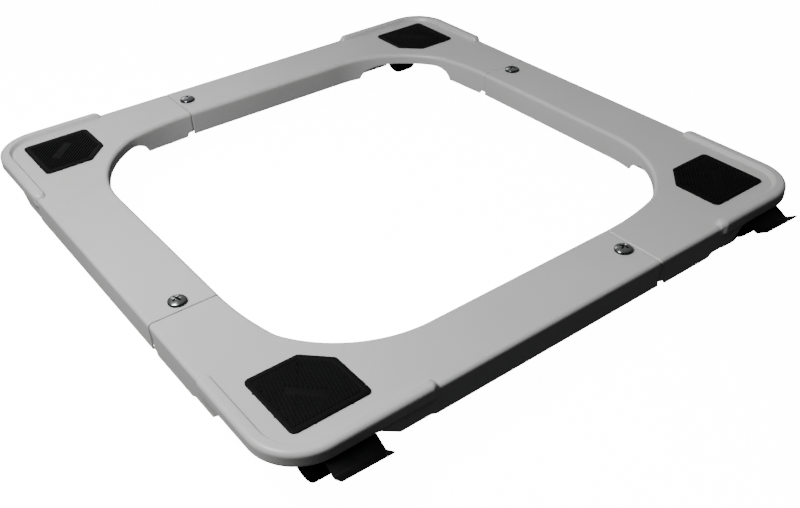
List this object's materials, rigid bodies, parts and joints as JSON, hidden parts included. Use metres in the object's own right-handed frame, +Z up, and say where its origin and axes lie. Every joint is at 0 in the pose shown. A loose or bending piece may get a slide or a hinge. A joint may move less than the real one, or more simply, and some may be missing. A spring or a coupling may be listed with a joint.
{
  "type": "adjustable wheeled washer base",
  "caption": "Low square wheeled base for a washing machine: telescoping pressed steel corner brackets with ribbed rubber pads, swivel castors and front brake pedals.",
  "frame": {"origin": "centre of the closed base, on the floor", "axes": "+Z up; -Y toward the front, where the brake pedals stick out; +X to the right seen from the front"},
  "size_m": [0.6, 0.6218, 0.0615],
  "materials": {
    "frame": "light grey semi-gloss powder coat",
    "pad": "matt, ribbed",
    "zinc": "zinc plated",
    "castor_metal": "black, semi-gloss",
    "wheel": "black nylon, satin"
  },
  "bodies": {
    "bracket_front_left": {"corner_frame_front_left": "frame", "corner_pad_front_left": "pad", "clamp_screw_front_left": "zinc", "clamp_washer_front_left": "zinc", "clamp_nut_front_left": "zinc", "castor_plate_front_left": "castor_metal", "plate_rivets_front_left": "zinc", "kingpin_front_left": "zinc"},
    "castor_front_left": {"castor_fork_front_left": "castor_metal", "bearing_balls_front_left": "zinc", "wheel_axle_front_left": "zinc", "pedal_pin_front_left": "zinc", "pedal_spring_front_left": "zinc"},
    "pedal_front_left": {"brake_pedal_front_left": "castor_metal"},
    "left_wheel_front_left": {"left_wheel_front_left": "wheel"},
    "right_wheel_front_left": {"right_wheel_front_left": "wheel"},
    "bracket_front_right": {"corner_frame_front_right": "frame", "corner_pad_front_right": "pad", "clamp_screw_front_right": "zinc", "clamp_washer_front_right": "zinc", "clamp_nut_front_right": "zinc", "castor_plate_front_right": "castor_metal", "plate_rivets_front_right": "zinc", "kingpin_front_right": "zinc"},
    "castor_front_right": {"castor_fork_front_right": "castor_metal", "bearing_balls_front_right": "zinc", "wheel_axle_front_right": "zinc", "pedal_pin_front_right": "zinc", "pedal_spring_front_right": "zinc"},
    "pedal_front_right": {"brake_pedal_front_right": "castor_metal"},
    "left_wheel_front_right": {"left_wheel_front_right": "wheel"},
    "right_wheel_front_right": {"right_wheel_front_right": "wheel"},
    "bracket_back_right": {"corner_frame_back_right": "frame", "corner_pad_back_right": "pad", "clamp_screw_back_right": "zinc", "clamp_washer_back_right": "zinc", "clamp_nut_back_right": "zinc", "castor_plate_back_right": "castor_metal", "plate_rivets_back_right": "zinc", "kingpin_back_right": "zinc"},
    "castor_back_right": {"castor_fork_back_right": "castor_metal", "bearing_balls_back_right": "zinc", "wheel_axle_back_right": "zinc"},
    "wheel_back_right": {"wheel_back_right": "wheel"},
    "bracket_back_left": {"corner_frame_back_left": "frame", "corner_pad_back_left": "pad", "clamp_screw_back_left": "zinc", "clamp_washer_back_left": "zinc", "clamp_nut_back_left": "zinc", "castor_plate_back_left": "castor_metal", "plate_rivets_back_left": "zinc", "kingpin_back_left": "zinc"},
    "castor_back_left": {"castor_fork_back_left": "castor_metal", "bearing_balls_back_left": "zinc", "wheel_axle_back_left": "zinc"},
    "wheel_back_left": {"wheel_back_left": "wheel"}
  },
  "joints": [
    {"name": "width_slide", "type": "slide", "parent": "bracket_front_left", "child": "bracket_front_right", "axis": [1, 0, 0], "range_m": [0, 0.1]},
    {"name": "depth_slide", "type": "slide", "parent": "bracket_front_left", "child": "bracket_back_left", "axis": [0, 1, 0], "range_m": [0, 0.1]},
    {"name": "depth_slide_right", "type": "slide", "parent": "bracket_front_right", "child": "bracket_back_right", "axis": [0, 1, 0], "range_m": [0, 0.1]},
    {"name": "swivel_front_left", "type": "hinge", "parent": "bracket_front_left", "child": "castor_front_left", "pos_m": [-0.239, -0.239, 0.0495], "axis": [0, 0, 1], "range_deg": [-84, 0]},
    {"name": "left_wheel_spin_front_left", "type": "hinge", "parent": "castor_front_left", "child": "left_wheel_front_left", "pos_m": [-0.23973, -0.26349, 0.02], "axis": [0.9996, -0.0297, 0], "continuous": true},
    {"name": "right_wheel_spin_front_left", "type": "hinge", "parent": "castor_front_left", "child": "right_wheel_front_left", "pos_m": [-0.23973, -0.26349, 0.02], "axis": [0.9996, -0.0297, 0], "continuous": true},
    {"name": "brake_front_left", "type": "hinge", "parent": "castor_front_left", "child": "pedal_front_left", "pos_m": [-0.23944, -0.25399, 0.043], "axis": [0.9996, -0.0297, 0], "range_deg": [0, 8], "stiffness_Nm_per_rad": 0.5, "springref_deg": -17.19, "deforming": ["pedal_spring_front_left"]},
    {"name": "swivel_front_right", "type": "hinge", "parent": "bracket_front_right", "child": "castor_front_right", "pos_m": [0.239, -0.239, 0.0495], "axis": [0, 0, 1], "range_deg": [0, 84]},
    {"name": "left_wheel_spin_front_right", "type": "hinge", "parent": "castor_front_right", "child": "left_wheel_front_right", "pos_m": [0.23827, -0.26349, 0.02], "axis": [0.9996, -0.0297, 0], "continuous": true},
    {"name": "right_wheel_spin_front_right", "type": "hinge", "parent": "castor_front_right", "child": "right_wheel_front_right", "pos_m": [0.23827, -0.26349, 0.02], "axis": [0.9996, -0.0297, 0], "continuous": true},
    {"name": "brake_front_right", "type": "hinge", "parent": "castor_front_right", "child": "pedal_front_right", "pos_m": [0.23855, -0.25399, 0.043], "axis": [0.9996, -0.0297, 0], "range_deg": [0, 8], "stiffness_Nm_per_rad": 0.5, "springref_deg": -17.19, "deforming": ["pedal_spring_front_right"]},
    {"name": "swivel_back_right", "type": "hinge", "parent": "bracket_back_right", "child": "castor_back_right", "pos_m": [0.239, 0.239, 0.0495], "axis": [0, 0, 1], "continuous": true},
    {"name": "wheel_spin_back_right", "type": "hinge", "parent": "castor_back_right", "child": "wheel_back_right", "pos_m": [0.239, 0.271, 0.02], "axis": [-1, 0, 0], "continuous": true},
    {"name": "swivel_back_left", "type": "hinge", "parent": "bracket_back_left", "child": "castor_back_left", "pos_m": [-0.239, 0.239, 0.0495], "axis": [0, 0, 1], "continuous": true},
    {"name": "wheel_spin_back_left", "type": "hinge", "parent": "castor_back_left", "child": "wheel_back_left", "pos_m": [-0.239, 0.271, 0.02], "axis": [-1, 0, 0], "continuous": true}
  ],
  "couplings": [
    {"joint": "depth_slide_right", "follows": "depth_slide", "ratio": 1}
  ]
}
